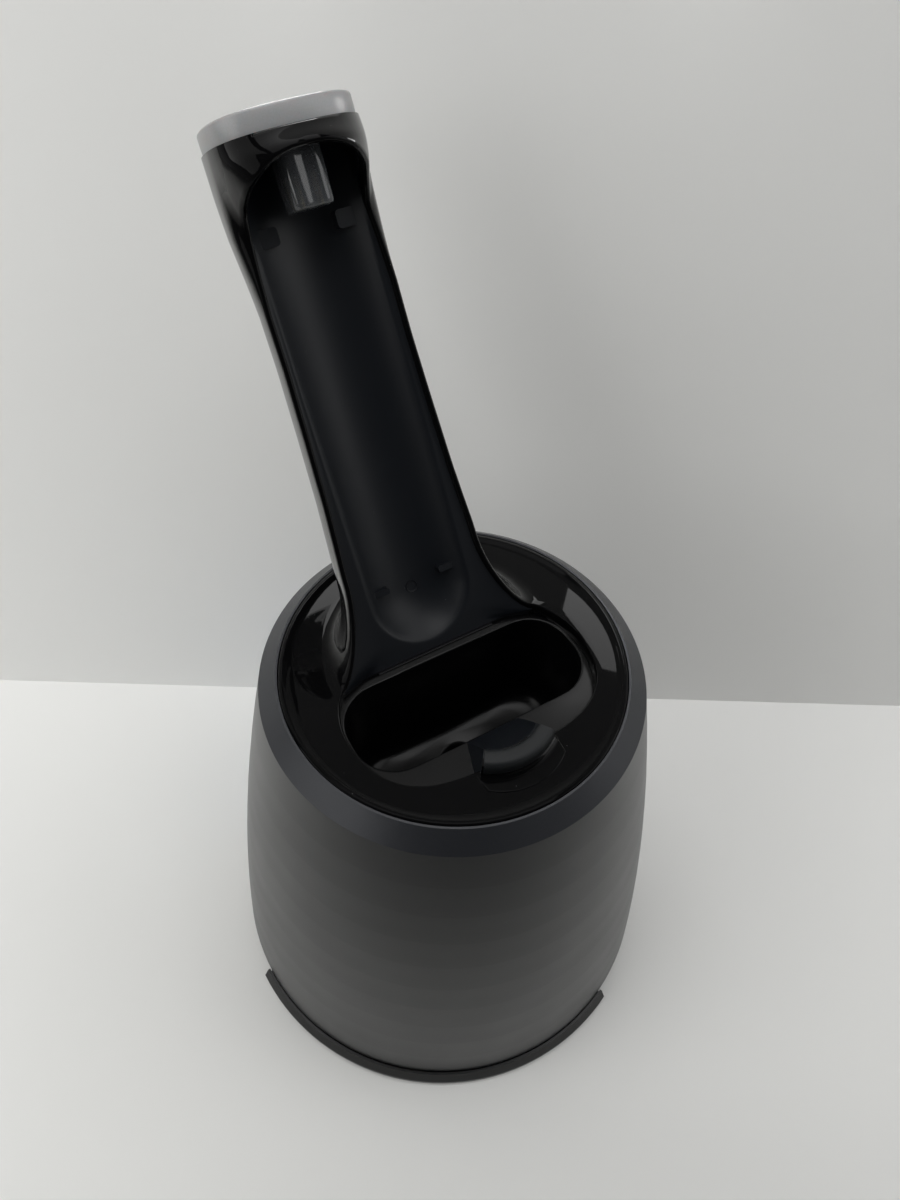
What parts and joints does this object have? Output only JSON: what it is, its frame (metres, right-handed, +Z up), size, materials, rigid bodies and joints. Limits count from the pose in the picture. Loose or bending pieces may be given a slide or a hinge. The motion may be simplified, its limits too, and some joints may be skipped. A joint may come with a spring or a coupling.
{
  "type": "shaver cleaning station",
  "caption": "Tapered round cleaning station for an electric shaver, with a wash bowl, a leaning docking arm with a start button, and a lift-off housing over a cleaning cartridge.",
  "frame": {"origin": "on the table, on the upright axis of the round body", "axes": "+Z up, -Y towards the front of the docking arm, where the shaver goes in, +X to the right seen from there; the arm lies in the YZ plane and leans to +Y, and the front of the shell is turned about 33 degrees from the arm, to the viewer's left"},
  "size_m": [0.1276, 0.1544, 0.2283],
  "materials": {
    "shell_grey": "satin anthracite paint on a moulded shell",
    "trim_metallic": "fine metallic anthracite",
    "gloss_black": "polished piano black",
    "bowl_black": "satin black",
    "pad_grey": "matte soft-touch dark grey",
    "base_black": "fine grained black",
    "foot_rubber": "matte black",
    "frame_black": "plain moulded black",
    "steel": "bright zinc plated",
    "motor_steel": "drawn steel can",
    "seal_rubber": "matte",
    "hose_grey": "smooth soft hose",
    "board_green": "lacquered board",
    "contact_metal": "gold plated",
    "channel_matte": "fine spark-eroded blue-black",
    "band_grey": "translucent light grey",
    "plug_smoke": "smoky translucent",
    "button_black": "satin black",
    "button_grey": "satin dark grey",
    "latch_grey": "plain moulded grey",
    "cartridge_blue": "plain moulded dark blue",
    "filter_white": "pressed fibre",
    "impeller_white": "plain moulded white"
  },
  "bodies": {
    "base": {"base_plate": "base_black", "rubber_feet": "foot_rubber", "cartridge_guide": "frame_black", "guide_columns": "frame_black", "lift_springs": "steel", "base_screws": "steel", "latch_posts": "frame_black"},
    "housing": {"outer_shell": "shell_grey", "shell_liner": "base_black", "trim_ring": "trim_metallic", "top_deck": "gloss_black", "bowl_seal": "seal_rubber", "wash_bowl": "bowl_black", "pad_collar": "gloss_black", "guide_pad": "pad_grey", "chassis": "frame_black", "guide_sleeves": "frame_black", "housing_screws": "steel", "drain_funnel": "frame_black", "drain_seal": "seal_rubber", "suction_nozzle": "frame_black", "nozzle_seal": "seal_rubber", "pump_housing": "frame_black", "pump_cover": "frame_black", "pump_motor": "motor_steel", "supply_hose": "hose_grey", "main_board": "board_green", "power_inlet": "frame_black", "inlet_pins": "contact_metal", "button_leaf": "steel", "arm_root": "frame_black", "arm_front_shell": "gloss_black", "arm_rear_shell": "gloss_black", "arm_channel": "channel_matte", "upper_rest_pads": "channel_matte", "lower_rest_ribs": "channel_matte", "arm_screws": "steel", "arm_cable": "seal_rubber", "head_housing": "gloss_black", "light_band": "band_grey", "contact_plug": "plug_smoke", "contact_pins": "contact_metal", "button_switch": "frame_black", "button_dome": "steel"},
    "lift_button_body": {"lift_button": "button_black", "latch_bar": "latch_grey", "latch_noses": "latch_grey"},
    "start_button_body": {"start_button": "button_grey"},
    "cartridge": {"cartridge_tub": "cartridge_blue", "cartridge_lid": "cartridge_blue", "port_seals": "seal_rubber", "cartridge_filter": "filter_white"},
    "pump_rotor": {"motor_shaft": "steel", "impeller": "impeller_white"}
  },
  "joints": [
    {"name": "housing_lift", "type": "slide", "parent": "base", "child": "housing", "axis": [0, 0, 1], "range_m": [0, 0.028], "deforming": ["lift_springs"]},
    {"name": "lift_button_press", "type": "slide", "parent": "housing", "child": "lift_button_body", "axis": [0, -1, 0], "range_m": [0, 0.003], "stiffness_N_per_m": 600, "springref_m": -0.001},
    {"name": "start_button_press", "type": "slide", "parent": "housing", "child": "start_button_body", "axis": [0, -0.5793, -0.8151], "range_m": [0, 0.0008], "stiffness_N_per_m": 1200, "springref_m": -0.0002},
    {"name": "cartridge_slide", "type": "slide", "parent": "base", "child": "cartridge", "axis": [0, 1, 0], "range_m": [0, 0.1]},
    {"name": "pump_spin", "type": "hinge", "parent": "housing", "child": "pump_rotor", "pos_m": [0, 0.028, 0.065], "axis": [0, 0, 1], "continuous": true}
  ]
}
